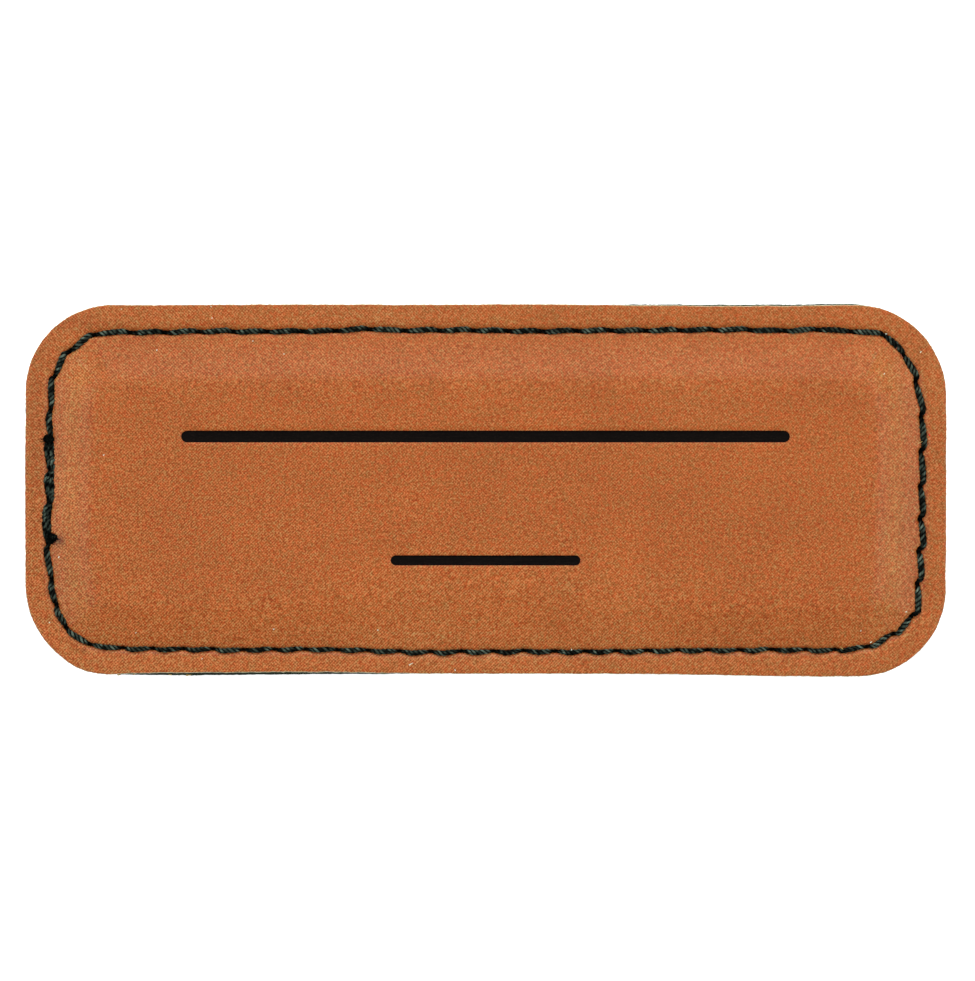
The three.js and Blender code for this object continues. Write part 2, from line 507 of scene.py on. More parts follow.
def stitch_line(i, t):
    """Where the stitch from hole i lies at these shares of its length, and the way along it."""
    stitch = STITCHES[i]
    start, end = HOLES[i], NEXT_HOLES[i]
    along = (end - start) / np.linalg.norm(end - start)
    out = np.array([-along[1], along[0]])
    peak = stitch["peak"]
    climb = np.clip(t / peak, 0, 1) ** stitch["growth"]
    fall = 0.5 + 0.5 * np.cos(np.pi * np.clip((t - peak) / (1 - peak), 0, 1))
    lean = np.sin(np.pi * np.clip(t / TUCK_SHARE, 0, 1))
    bow = stitch["swing"] * climb * fall - stitch["tuck"] * lean
    return start + (end - start) * t[:, None] + out * bow[:, None], along


SEAM_LINE = np.concatenate([stitch_line(i, np.array(LINE_SHARES))[0] for i in range(len(HOLES))])


def in_parts(count):
    return [slice(first, first + PART) for first in range(0, count, PART)]


def line_distance(points, line):
    """Distance inwards from a closed line of points that runs clockwise (outside it, negative), and the way
    out across the line."""
    after = np.roll(line, -1, axis=0)
    side = after - line
    length2 = (side**2).sum(1)
    low, high = np.minimum(line[:, 1], after[:, 1]), np.maximum(line[:, 1], after[:, 1])
    distance = np.empty(len(points))
    facing = np.empty((len(points), 2))
    for rows in in_parts(len(points)):
        some = points[rows, None, :]
        share = np.clip(((some - line) * side).sum(-1) / length2, 0, 1)
        gap = np.linalg.norm(some - line - share[..., None] * side, axis=-1)
        nearest = gap.argmin(1)
        crosses = (some[..., 1] >= low) & (some[..., 1] < high)
        with np.errstate(divide="ignore", invalid="ignore"):
            at_x = line[:, 0] + (some[..., 1] - line[:, 1]) * side[:, 0] / side[:, 1]
        inside = (crosses & (at_x > some[..., 0])).sum(1) % 2 == 1
        distance[rows] = gap.min(1) * np.where(inside, 1, -1)
        out = np.stack([-side[nearest, 1], side[nearest, 0]], -1)
        facing[rows] = out / np.linalg.norm(out, axis=1)[:, None]
    return distance, facing


def seam_distance(points):
    """Distance inwards from the line of the seam's holes, the way out across it, distance inwards from the
    line of its thread, and distance from the nearest hole."""
    across, facing = line_distance(points, HOLES)
    strand, _ = line_distance(points, SEAM_LINE)
    hole = np.empty(len(points))
    for rows in in_parts(len(points)):
        hole[rows] = np.linalg.norm(points[rows, None, :] - HOLES, axis=-1).min(1)
    return across, facing, strand, hole


def seam_dip(strand, hole):
    """How far the thread pulls the sheet in, beside the seam and round each hole."""
    reach = np.where(strand > 0, SEAM_GROOVE_REACH, SEAM_GROOVE_REACH_OUT)
    groove = SEAM_GROOVE * np.exp(-((strand / reach) ** 2))
    return groove + HOLE_DEPTH * np.exp(-((hole / HOLE_REACH) ** 2))


def by_side(facing, label):
    """A slope's value for the way that each point faces, blended round the corners."""
    total, weight = 0.0, 0.0
    for side, way in SIDE_WAYS.items():
        share = np.clip(facing @ np.array(way), 0, 1) ** 2
        total = total + share * SLOPES[side][label]
        weight = weight + share
    return total / weight


def bevel_share(points):
    """How far up the pad's slope each point lies, from 0 at the seam to 1, and the way that it faces."""
    across, facing = line_distance(points, HOLES)
    return smoothstep(across / by_side(facing, "width")), facing


def face_height(points):
    """Height of the front panel's face."""
    x, y = points.T
    across, facing, strand, hole = seam_distance(points)
    tilt = MARGIN_TILT * np.exp(np.minimum(across, 0) / MARGIN_TILT_REACH)
    width = by_side(facing, "width")
    sag = np.exp(-(((x - SAG_MIDDLE) / SAG_REACH) ** 2)) * np.clip(-facing[..., 1], 0, 1)
    share = np.clip(across, 0, None) / (width + SAG_WIDTH * sag)
    climb = share ** by_side(facing, "growth")
    level = (climb + 1 - np.sqrt((climb - 1) ** 2 + SLOPE_SOFTNESS**2)) / 2
    wave = PLATEAU_WAVE * waves(x, y, PLATEAU_WAVE_LENGTH, seed=3)
    wave = wave * smoothstep(across / PLATEAU_WAVE_START)
    rise = (PAD_RISE + MARGIN_TILT) * level
    return MARGIN_TOP - tilt - seam_dip(strand, hole) + rise + wave - PLATEAU_WAVE


def outline(width, height, radii, step):
    """Points of a rounded rectangle about the origin, anticlockwise, and the way out at each."""
    points, outward = [], []
    signs = ((1, 1), (-1, 1), (-1, -1), (1, -1))
    middles = [np.array([sx * (width / 2 - r), sy * (height / 2 - r)]) for (sx, sy), r in zip(signs, radii)]
    for i, (middle, radius) in enumerate(zip(middles, radii)):
        count = max(4, round(radius * math.pi / 2 / step))
        first = i * math.pi / 2
        turns = [first + math.pi / 2 * k / count for k in range(count)] + [first + math.pi / 2]
        ways = [np.array([math.cos(turn), math.sin(turn)]) for turn in turns]
        arc = [middle + radius * way for way in ways]
        following = (i + 1) % 4
        side = middles[following] + radii[following] * ways[-1] - arc[-1]
        steps = round(np.linalg.norm(side) / step)
        points += arc[:-1] + [arc[-1] + side * k / steps for k in range(steps)]
        outward += ways[:-1] + ways[-1:] * steps
    return np.array(points), np.array(outward)


def cut_wobble(points, seed):
    """The small unevenness of an edge cut by a die, outwards."""
    x, y = points.T
    total = sum(waves(x, y, wave["length"], seed + wave["seed"]) * wave["out"] for wave in CUT_WAVES)
    return total + np.random.default_rng(seed + 2).normal(0, CUT_FUZZ, len(points))


def bowed(points, outward, bows):
    """How far an edge strays from straight, outwards."""
    total = np.zeros(len(points))
    for bow in bows:
        way = np.array(SIDE_WAYS[bow["side"]])
        along = (points @ np.abs(way[::-1]) - bow["middle"]) / bow["reach"]
        total += bow["out"] * np.clip(outward @ way, 0, 1) * np.exp(-(along**2))
    return total


def cut_sheet(radii, step, bows, seed, turn=0.0):
    """A sheet's outline as cut: a function that gives its points at any inset, and the way out at each.
    Its unevenness fades inwards."""
    base, outward = outline(BADGE_WIDTH, BADGE_HEIGHT, radii, step)
    wobble = cut_wobble(base, seed) + bowed(base, outward, bows)
    turned = np.array([[math.cos(turn), math.sin(turn)], [-math.sin(turn), math.cos(turn)]])
    base, outward = base @ turned, outward @ turned

    def inset_points(inset):
        fade = np.clip(1 - inset / WOBBLE_REACH, 0, 1)
        return base + outward * (wobble * fade - inset)[:, None]

    return inset_points, outward


def spots(points, places):
    """How much each point belongs to one of these places of the photograph, up to the place's share."""
    total = np.zeros(len(points))
    for place in places:
        off = (points - photo_point(*place["at"])) / MM_PER_PX / np.array(place["reach"])
        total = np.maximum(total, place["share"] * np.exp(-(off**2).sum(1)))
    return total


def new_object(name, data):
    made = bpy.data.objects.new(name, data)
    bpy.context.scene.collection.objects.link(made)
    return made


def make_object(name, vertices, faces, material, values=None):
    """A mesh object from vertices in millimetres, with named values on its vertices."""
    mesh = bpy.data.meshes.new(name)
    mesh.from_pydata((np.asarray(vertices) * MM).tolist(), [], [list(map(int, f)) for f in faces])
    mesh.polygons.foreach_set("use_smooth", [True] * len(mesh.polygons))
    for label, numbers in (values or {}).items():
        attribute = mesh.attributes.new(label, "FLOAT", "POINT")
        attribute.data.foreach_set("value", np.asarray(numbers, np.float32))
    mesh.materials.append(material)
    mesh.update()
    return new_object(name, mesh)


def ring(xy, z):
    """The vertices of a ring that lies at these heights."""
    return np.column_stack([xy, np.broadcast_to(z, len(xy))])


def joined(rings, sides, closed=False, ends=2):
    """The faces between rings of as many vertices each, with none, the first or both of the ends filled."""
    i, k = np.meshgrid(np.arange(rings if closed else rings - 1), np.arange(sides), indexing="ij")
    i2, k2 = (i + 1) % rings, (k + 1) % sides
    quads = np.stack([i * sides + k, i * sides + k2, i2 * sides + k2, i2 * sides + k], -1)
    caps = [list(range(sides))[::-1], list(range((rings - 1) * sides, rings * sides))]
    return quads.reshape(-1, 4).tolist() + caps[:ends]


def stadium(half_length, half_width, centre_y, step):
    """A slot's outline with round ends."""
    points, _ = outline(2 * half_length, 2 * half_width, (half_width * 0.999,) * 4, step)
    return points + np.array([0, centre_y])


def plateau(border):
    """Fills the border, a ring of points on the face, leaving a sunk floor under each engraved rule.
    Returns the new points with the border's first, the triangles and how deep each point is sunk."""
    points = [tuple(p) for p in border]
    edges = []
    sunk = [0.0] * len(border)
    for rule in RULES:
        for ring in RULE_RINGS:
            size = (rule["half_length"] + ring["grow"], rule["half_width"] + ring["grow"])
            loop = stadium(*size, rule["centre_y"], RULE_STEP)
            first = len(points)
            points += [tuple(p) for p in loop]
            sunk += [ring["depth"]] * len(loop)
            edges += [(first + k, first + (k + 1) % len(loop)) for k in range(len(loop))]
    reach = np.abs(border).max(0) - PLATEAU_GRID
    grid_x = np.arange(-reach[0], reach[0], PLATEAU_GRID)
    grid_y = np.arange(-reach[1], reach[1], PLATEAU_GRID)
    for x, y in np.stack(np.meshgrid(grid_x, grid_y), -1).reshape(-1, 2):
        near, deep = False, 0.0
        for rule in RULES:
            past = max(abs(x) - (rule["half_length"] - rule["half_width"]), 0)
            gap = math.hypot(past, y - rule["centre_y"]) - rule["half_width"]
            near = near or abs(gap) < RULE_CLEARANCE
            deep = 1.0 if gap < 0 else deep
        if not near:
            points.append((x, y))
            sunk.append(deep)
    border_ring = list(range(len(border)))
    made, _, triangles, origins, _, _ = delaunay_2d_cdt(points, edges, [border_ring], 1, 1e-7, True)
    order = [min(o) if o else -1 for o in origins]
    return np.array([tuple(p) for p in made]), triangles, order, sunk


def make_front_panel(material, engraving):
    """The padded face: a cut edge, the margin, the seam's groove, the bevel and the engraved plateau."""
    inset_points, outward = cut_sheet(CORNER_RADII, OUTLINE_STEP, EDGE_BOWS, seed=21)
    count = len(outward)
    bottom = PANEL_LOW[2]
    rings = [ring(inset_points(inset), bottom) for inset in (FOOT_INSET, FOOT_ROUND)]
    edge = inset_points(0)
    edge_top = face_height(edge) - CUT_EDGE_ROUND
    draw = np.random.default_rng(5)
    wall = np.linspace(WALL_FOOT, 1, WALL_RINGS)
    for share in wall:
        rough = draw.normal(0, CUT_ROUGHNESS, count) * math.sin(math.pi * min(share, 0.9))
        flare = CUT_FLARE * min((1 - share) / FLARE_REACH, 1)
        rings.append(ring(edge + outward * (rough + flare)[:, None], bottom + (edge_top - bottom) * share))
    for turn in np.radians((30, 60, 90)):
        points = inset_points(CUT_EDGE_ROUND * (1 - math.cos(turn)))
        rings.append(ring(points, face_height(points) - CUT_EDGE_ROUND * (1 - math.sin(turn))))
    for inset in RING_INSETS:
        points = inset_points(inset)
        rings.append(ring(points, face_height(points)))

    vertices = np.concatenate(rings)
    first = len(vertices) - count
    inner, triangles, order, sunk = plateau(rings[-1][:, :2])
    new = [i for i, origin in enumerate(order) if not 0 <= origin < count]
    new_index = {i: first + origin for i, origin in enumerate(order)}
    new_index.update((i, len(vertices) + k) for k, i in enumerate(new))
    extra = inner[new]
    depth = np.array([sunk[order[i]] for i in new])
    vertices = np.concatenate([vertices, ring(extra, face_height(extra) - depth * ENGRAVING_DEPTH)])
    faces = joined(len(rings), count, ends=1)
    faces += [[new_index[i] for i in triangle] for triangle in triangles]

    points = vertices[:, :2]
    wall_end = (2 + WALL_RINGS) * count
    cut, skin = np.zeros((2, len(vertices)))
    cut[:wall_end] = 1
    skin[:wall_end] = np.repeat(np.concatenate([[0, 0], wall]), count)
    _, _, strand, hole = seam_distance(points)
    slope, facing = bevel_share(points)
    values = {
        "seam": strand,
        "hole": hole,
        "cut": cut,
        "skin": skin,
        # painted shadows beside the knots and shade between the doubled threads, and darker spots and
        # patches
        "shadows_and_dark_spots": spots(points, SHADOWS_AND_DARK_SPOTS_PX),
        # painted highlights, mostly on the pad's slopes and margins
        "painted_highlights": spots(points, PAINTED_HIGHLIGHTS_PX),
        # painted sheen where the pad's slopes face its ends
        "painted_end_sheen": END_SHEEN_PEAK * slope**2 * (1 - slope) * facing[:, 0] ** 2,
        # painted sheen on the margin and slopes, more of it towards the badge's low side
        "pale": (1 - slope) * np.where(slope > 0, SLOPE_SHEEN - SLOPE_SHEEN_LEAN * facing[:, 1], 1.0),
    }
    made = make_object("leatherette_face", vertices, faces, material, values)
    made.data.materials.append(engraving)
    sunken = np.zeros(len(vertices), bool)
    sunken[-len(extra) :] = depth >= ENGRAVED_FROM
    for polygon in made.data.polygons[-len(triangles) :]:
        polygon.material_index = int(sunken[list(polygon.vertices)].all())
    return made


def make_backing(material):
    """The dark sheet behind, a little crooked, with the seam pulled into its back."""
    inset_points, outward = cut_sheet(BACKING_RADII, BACKING_STEP, BACKING_BOWS, seed=41, turn=BACKING_TURN)
    count = len(outward)
    low, high = BACKING_LOW[2], BACKING_HIGH[2]
    rings = [ring(inset_points(inset), high) for inset in (FOOT_INSET, BACKING_ROUND)]
    draw = np.random.default_rng(6)
    for share in np.linspace(0, 1, WALL_RINGS):
        rough = draw.normal(0, CUT_ROUGHNESS, count) * math.sin(math.pi * share)
        level = high - BACKING_ROUND + (low + 2 * BACKING_ROUND - high) * share
        rings.append(ring(inset_points(0) + outward * rough[:, None], level))
    for inset in BACKING_INSETS:
        points = inset_points(inset)
        _, _, strand, hole = seam_distance(points)
        curl = BACK_CURL * smoothstep(np.abs(strand) / BACK_CURL_REACH)
        drop = BACKING_ROUND * (1 - min(inset / BACKING_ROUND, 1)) ** 2
        level = low + BACK_CURL - curl + BACK_DIP_SHARE * seam_dip(strand, hole) + drop
        rings.append(ring(points, level))
    cut = np.zeros(len(rings) * count)
    cut[2 * count : (2 + WALL_RINGS) * count] = 1
    faces = [face[::-1] for face in joined(len(rings), count)]
    return make_object("leatherette_backing", np.concatenate(rings), faces, material, {"cut": cut})


def make_bar(material):
    """The fastener: one bar with round corners and softly rounded edges."""
    length, width, _ = BAR_HIGH - BAR_LOW
    base, outward = outline(length, width, (BAR_CORNER,) * 4, BAR_STEP)
    rings = []
    turns = np.radians(np.linspace(90, 0, 6))
    for level, way, order in ((BAR_LOW[2], 1, turns), (BAR_HIGH[2], -1, turns[::-1])):
        for turn in order:
            points = base - outward * BAR_EDGE * (1 - math.cos(turn))
            rings.append(ring(points, level + way * BAR_EDGE * (1 - math.sin(turn))))
    faces = joined(len(rings), len(base))
    return make_object("magnet_bar_finished", np.concatenate(rings), faces, material)


def stitch_path(i, level, way):
    """One stitch's thread: its points, its radius and how it catches the light along them. level gives the
    sheet's height beside the seam, and way is 1 on the front and -1 on the back."""
    length = np.linalg.norm(NEXT_HOLES[i] - HOLES[i])
    count = max(6, round(length / THREAD_STEP))
    t = np.arange(count) / count
    xy, along = stitch_line(i, t)
    over = smoothstep(np.minimum(t, 1 - t) * length / THREAD_RIM)
    crown = THREAD_CROWN * np.sin(np.pi * t)
    z = level + way * (-THREAD_SINK + (THREAD_SINK + THREAD_LIFT) * over + crown)
    full = 1 - np.abs(2 * t - 1) ** THREAD_TAPER
    bottom = max(-along[0], 0) ** 2
    fat = THREAD_RADIUS * (1 + SIDE_THICKNESS * abs(along[1]) - BOTTOM_THINNESS * bottom)
    thin = THREAD_LINK_RADIUS * (1 - BOTTOM_LINK * bottom)
    radius = thin + (fat - thin) * full
    return np.column_stack([xy, z]), radius, np.interp(t, GLOW_SHARES, GLOWS)


def frame_along(path, closed, hint):
    """The way to one side of a path and the way up across it, at each of its points."""
    ahead = np.roll(path, -1, 0) - np.roll(path, 1, 0) if closed else np.gradient(path, axis=0)
    ahead = ahead / np.linalg.norm(ahead, axis=1)[:, None]
    side = np.cross(ahead, np.array(hint))
    side /= np.linalg.norm(side, axis=1)[:, None]
    return side, np.cross(side, ahead)


def tube(middle, radius, sides, closed=False, hint=(0.0, 0.0, 1.0)):
    """A ring of vertices round each point of a path, and the faces of the tube that they make."""
    side, up = frame_along(middle, closed, hint)
    turn = np.arange(sides) * 2 * np.pi / sides
    out = side[:, None, :] * np.cos(turn)[None, :, None] + up[:, None, :] * np.sin(turn)[None, :, None]
    spot = middle[:, None, :] + out * radius[:, None, None]
    return spot, joined(len(middle), sides, closed, 0 if closed else 2)


def add_twisted_thread(gathered, path, radius, glow, seed, closed=False, pitch=THREAD_PITCH):
    """Adds plies twisted to the right round a path, with values for their looks, painted highlights and
    shade.
    """
    draw = np.random.default_rng(seed)
    side, up = frame_along(path, closed, (0.0, 0.0, 1.0))
    after = np.roll(path, -1, 0) if closed else np.concatenate([path[1:], path[-1:]])
    steps = np.linalg.norm(after - path, axis=1)
    run = np.concatenate([[0], np.cumsum(steps)[:-1]])
    total = steps.sum()
    turns = round(total / pitch) if closed else total / pitch
    phase = -2 * np.pi * turns * run / total
    phase = phase + sum(
        slack["size"] * np.sin(2 * np.pi * run * slack["cycles"] / total + slack["start"])
        for slack in TWIST_SLACKS
    )
    round_ply = np.arange(THREAD_SIDES) / THREAD_SIDES
    for ply in range(THREAD_PLIES):
        around = phase + 2 * np.pi * ply / THREAD_PLIES
        off = radius * (1 - PLY_SHARE) * (1 + draw.normal(0, PLY_UNEVEN))
        middle = path + (side * np.cos(around)[:, None] + up * np.sin(around)[:, None]) * off[:, None]
        swell = 1 + PLY_SWELL * np.sin(run * PLY_SWELL_WAVE + ply * 2)
        ply_radius = radius * PLY_SHARE * PLY_OVERLAP * swell
        spot, faces = tube(middle, ply_radius, THREAD_SIDES, closed)
        gathered.add(
            spot.reshape(-1, 3),
            faces,
            run=np.repeat(run, THREAD_SIDES),
            around=np.tile(round_ply, len(path)) + np.repeat(phase, THREAD_SIDES) / (2 * np.pi) + ply,
            glow=np.repeat(glow, THREAD_SIDES),
            crest=(np.linalg.norm(spot - path[:, None, :], axis=-1) / radius[:, None]).reshape(-1),
            ply=PLY_PATCH_STEP * ply,
        )


def seam_level(way):
    """How high the sheet is beside the seam, on the front (way 1) or on the back (way -1)."""
    if way > 0:
        return MARGIN_TOP - MARGIN_TILT - SEAM_GROOVE
    return BACKING_LOW[2] + BACK_CURL + BACK_DIP_SHARE * SEAM_GROOVE


def seam_path(way, first, count):
    """The seam's thread on the front (way 1) or on the back (way -1), clockwise from one of its holes."""
    parts = [stitch_path((first + k) % len(HOLES), seam_level(way), way) for k in range(count)]
    return tuple(np.concatenate(rows) for rows in zip(*parts))


def backtack_path(rows):
    """One thread of the stitches that are sewn twice, as stitch_path gives it."""
    knots = np.array([photo_point(*row["at"]) for row in rows])
    full = np.array([row["full"] for row in rows], float)
    run = np.concatenate([[0], np.cumsum(np.linalg.norm(np.diff(knots, axis=0), axis=1))])
    fine = np.arange(0, run[-1], THREAD_STEP)
    x, y, share = (np.interp(fine, run, v) for v in (knots[:, 0], knots[:, 1], full))
    for _ in range(BACKTACK_SOFTENINGS):
        x[1:-1] = np.convolve(x, BACKTACK_SOFTENING, "valid")
        y[1:-1] = np.convolve(y, BACKTACK_SOFTENING, "valid")
    share = smoothstep(share * BACKTACK_RISE)
    z = seam_level(1) - THREAD_SINK + (THREAD_SINK + THREAD_LIFT) * share
    fat = THREAD_RADIUS * BACKTACK_THICKNESS
    radius = THREAD_LINK_RADIUS + (fat - THREAD_LINK_RADIUS) * share
    holes = run[full == 0]
    start = np.clip(np.searchsorted(holes, fine, "right") - 1, 0, len(holes) - 2)
    t = (holes[start + 1] - fine) / (holes[start + 1] - holes[start])
    glow = BACKTACK_GLOW * share * np.interp(t, BACKTACK_GLOW_SHARES, BACKTACK_GLOWS)
    return np.column_stack([x, y, z]), radius, glow


def fibre(start, way, length, thickness, bend):
    """A short loose fibre that tapers to its tip."""
    t = np.linspace(0, 1, FIBRE_RINGS)
    middle = start + np.outer(t, way) * length + np.outer(t**2, bend) * length
    spot, faces = tube(middle, thickness * (1 - FIBRE_TAPER * t), FIBRE_SIDES, hint=(0.1, 0.2, 1.0))
    return spot.reshape(-1, 3), faces


class Gathered:
    """Several meshes gathered into one."""

    def __init__(self):
        self.vertices = []
        self.faces = []
        self.values = {}

    def add(self, vertices, faces, **values):
        first = sum(len(v) for v in self.vertices)
        self.vertices.append(np.asarray(vertices))
        self.faces += [[first + i for i in f] for f in faces]
        for label, numbers in values.items():
            self.values.setdefault(label, []).append(np.broadcast_to(numbers, (len(vertices),)))

    def object(self, name, material):
        values = {label: np.concatenate(rows) for label, rows in self.values.items()}
        return make_object(name, np.concatenate(self.vertices), self.faces, material, values)


def add_knot(gathered, knot):
    """A cut and melted thread end: dark fibres wound over a low mound, a few of them loose to one side."""
    draw = np.random.default_rng(knot["seed"])
    middle = np.array([*photo_point(*knot["at"]), seam_level(1) + KNOT_LIFT])
    reach = np.array([*(np.array(knot["reach"]) * MM_PER_PX), knot["rise_mm"]])
    for k in range(knot["fibres"]):
        out = draw.normal(0, 1, 3)
        out[2] = abs(out[2])
        out /= np.linalg.norm(out)
        across = np.cross(out, draw.normal(0, 1, 3))
        across /= np.linalg.norm(across)
        loose = k % LOOSE_EVERY == 0
        start = middle + out * reach * draw.uniform(*FIBRE_DEPTHS)
        way = across + (out + np.array([LOOSE_LEAN * knot["way"], 0, 0])) * (LOOSE_PULL if loose else 0)
        bend = -out * (LOOSE_BEND if loose else WOUND_BEND)
        length = draw.uniform(*FIBRE_LENGTHS)
        vertices, faces = fibre(start, way, length, draw.uniform(*FIBRE_THICKNESSES), bend)
        glow = FIBRE_GLINT if draw.random() < FIBRE_GLINT_SHARE else FIBRE_GLOW
        run, around = draw.uniform(0, 5), draw.uniform(0, 3)
        gathered.add(vertices, faces, run=run, around=around, glow=glow, crest=FIBRE_CREST, ply=0)


def make_threads(material):
    """The needle thread on the front with its frayed ends, and the bobbin thread on the back."""
    backtack = [i for i, stitch in enumerate(STITCHES) if stitch["backtack"]]
    front, back = Gathered(), Gathered()
    add_twisted_thread(front, *seam_path(1, backtack[-1] + 1, len(HOLES) - len(backtack)), seed=31)
    for k, rows in enumerate(BACKTACK_PX):
        add_twisted_thread(front, *backtack_path(rows), seed=40 + k, pitch=BACKTACK_PITCH)
    for knot in KNOTS_PX:
        add_knot(front, knot)
    add_twisted_thread(back, *seam_path(-1, 0, len(HOLES)), seed=33, closed=True)
    path, radius, glow = seam_path(-1, backtack[0], len(backtack))
    add_twisted_thread(back, path + np.array(BACK_DOUBLE_SHIFT), radius, glow, seed=34)
    return [front.object("seam_thread_front", material), back.object("seam_thread_back", material)]


def make_lint(materials):
    """Specks and short fibres that have settled on the face and the thread, or hang on the cut edge."""
    made = []
    for tone, specks in LINT_PX.items():
        lint = Gathered()
        for speck in specks:
            middle = photo_point(*speck["at"])
            turn = math.radians(speck["turn"])
            way = np.array([math.cos(turn), math.sin(turn), 0.0])
            ends = middle + np.outer((-0.5, 0.5), way[:2] * speck["length"])
            _, _, strand, _ = seam_distance(ends)
            level = face_height(ends).max() + speck["thick"] * 0.5
            if np.abs(strand).min() < 2 * THREAD_RADIUS:
                level = seam_level(1) + THREAD_LIFT + THREAD_RADIUS
            if abs(middle[1]) > BADGE_HEIGHT / 2 - EDGE_CRUMB_REACH:
                level = BACKING_HIGH[2] + speck["thick"] * 0.5
            start = np.array([*ends[0], level])
            lint.add(*fibre(start, way, speck["length"], speck["thick"], np.array(LINT_BEND)))
        made.append(lint.object("lint_" + tone, materials[tone]))
    return made


class Look:
    """A material, or the world, and short ways to add nodes to it."""

    def __init__(self, name, kind="materials", shader="Principled BSDF"):
        self.owner = getattr(bpy.data, kind).new(name)
        self.owner.use_nodes = True
        self.tree = self.owner.node_tree
        self.shader = self.tree.nodes[shader]

    def feed(self, socket, value):
        if isinstance(value, bpy.types.NodeSocket):
            self.tree.links.new(value, socket)
        else:
            socket.default_value = value

    def add(self, kind, inputs, **settings):
        """Adds a node and returns its outputs."""
        made = self.tree.nodes.new("ShaderNode" + kind)
        for key, value in settings.items():
            setattr(made, key, value)
        for key, value in inputs.items():
            self.feed(made.inputs[key], value)
        return made.outputs

    @cached_property
    def place(self):
        """Where a point lies on the object, in millimetres."""
        at = self.add("TexCoord", {})["Object"]
        return self.add("VectorMath", {0: at, "Scale": 1 / MM}, operation="SCALE")[0]

    def noise(self, detail, roughness, vector):
        inputs = {"Vector": vector, "Scale": 1.0, "Detail": detail, "Roughness": roughness}
        return self.add("TexNoise", inputs)["Fac"]

    def grain(self, detail, roughness, sizes, turn=0.0):
        """Noise over the object whose details have these sizes, turned about Z by degrees."""
        inputs = {"Vector": self.place, "Rotation": (0, 0, math.radians(turn)), "Scale": sizes}
        return self.noise(detail, roughness, self.add("Mapping", inputs, vector_type="TEXTURE")[0])

    def math(self, operation, a, b=0.0):
        return self.add("Math", {0: a, 1: b}, operation=operation)[0]

    def times(self, a, b):
        return self.math("MULTIPLY", a, b)

    def plus(self, a, b):
        return self.math("ADD", a, b)

    def remap(self, value, low, high, to_low=0.0, to_high=1.0):
        return self.add("MapRange", {"Value": value, 1: low, 2: high, 3: to_low, 4: to_high})[0]

    def mix(self, share, a, b, blend="MIX"):
        return self.add("Mix", {0: share, 6: a, 7: b}, data_type="RGBA", blend_type=blend)[2]

    def tinted(self, base, tint, share=1.0):
        return self.mix(share, base, tint, "MULTIPLY")

    def grey(self, value):
        return self.add("CombineColor", {0: value, 1: value, 2: value})[0]

    def vector(self, x, y):
        return self.add("CombineXYZ", {0: x, 1: y})[0]

    def value(self, label):
        """A value that the mesh carries on its vertices."""
        return self.add("Attribute", {}, attribute_name=label)["Fac"]

    def bump(self, height, distance_mm, strength):
        inputs = {"Height": height, "Distance": distance_mm * MM, "Strength": strength}
        return self.add("Bump", inputs)[0]

    def finish(self, **inputs):
        for key, value in inputs.items():
            self.feed(self.shader.inputs[key.replace("_", " ")], value)
        return self.owner


def colour(red, green, blue):
    """A colour given as it shows on a screen, 0 to 255, as the shader's own linear one."""
    linear = []
    for part in (red, green, blue):
        share = part / 255
        linear.append(share / 12.92 if share <= 0.04045 else ((share + 0.055) / 1.055) ** 2.4)
    return (*linear, 1.0)


def scaled_colour(rgb, factor):
    red, green, blue, _ = colour(*rgb)
    return (red * factor, green * factor, blue * factor, 1.0)


FACE_LIGHT = 0.64
FACE_TONES = {
    "dark": (141, 56, 16),
    "middle": (173, 92, 40),
    "bright": (208, 134, 76),
}
# What the sheet's colour is multiplied with: its flecks of red and green, painted shade beside the seam's
# thread that is partly a needle stain, painted sheen on the slopes at the pad's ends and on the margin and
# slope, and painted highlights.
TINTS = {
    "red": (1.2, 0.82, 0.72, 1),
    "green": (0.81, 1.19, 1.26, 1),
    "beside": (0.88, 0.83, 0.76, 1),
    "painted_end_sheen": (1.02, 1.12, 0.97, 1),
    "pale": (1.01, 1.08, 1.17, 1),
    "painted_highlights": (1.09, 1.21, 1.34, 1),
}
DASH_SIZE = (0.34, 0.11, 0.3)
FINE_SIZE = 0.15
MOTTLE_RANGE = 0.39
WEAVE_SHARE = 0.12
WEAVE_LENGTH = 0.2055 # from one thread of the sheet's weave to the next


def leatherette_grain(look, fineness):
    """A fine cross-hatched mottle: short dashes that run both ways across the sheet, with finer grain."""
    one, two = (look.grain(2, 0.6, DASH_SIZE, turn) for turn in (45, -45))
    both = look.plus(look.plus(one, two), -1.0)
    fine = look.plus(look.grain(1, 0.5, (FINE_SIZE,) * 3), -0.5)
    return look.remap(look.plus(both, look.times(fine, fineness)), -MOTTLE_RANGE, MOTTLE_RANGE)


# The two sets of threads of its weave: how they are turned, and how strong they are at the badge's left and
# right ends and its low and high edges.
WEAVES = table(
    ("turn", "left", "right", "low", "high"),
    (43.6, 1.3, 0.62, 0.8, 0.95),
    (-45.0, 1.6, 0.85, 1.35, 0.75),
)


def weave(look, along, up):
    """The sheet's fine weave, in two sets of threads across each other."""
    total = None
    k = 2 * math.pi / WEAVE_LENGTH
    for threads in WEAVES:
        turn = math.radians(threads["turn"])
        way = (k * math.cos(turn), k * math.sin(turn), 0)
        across = look.add("VectorMath", {0: look.place, 1: way}, operation="DOT_PRODUCT")["Value"]
        patch = look.grain(1, 0.5, (12, 12, 12), threads["turn"])
        by_end = look.remap(along, -41, 25, threads["left"], threads["right"])
        by_edge = look.remap(up, -12, 12, threads["low"], threads["high"])
        strong = look.times(look.times(by_end, by_edge), look.remap(patch, 0.35, 0.65, 0.75, 1.25))
        wave = look.times(look.math("SINE", across), strong)
        total = wave if total is None else look.plus(total, wave)
    return total


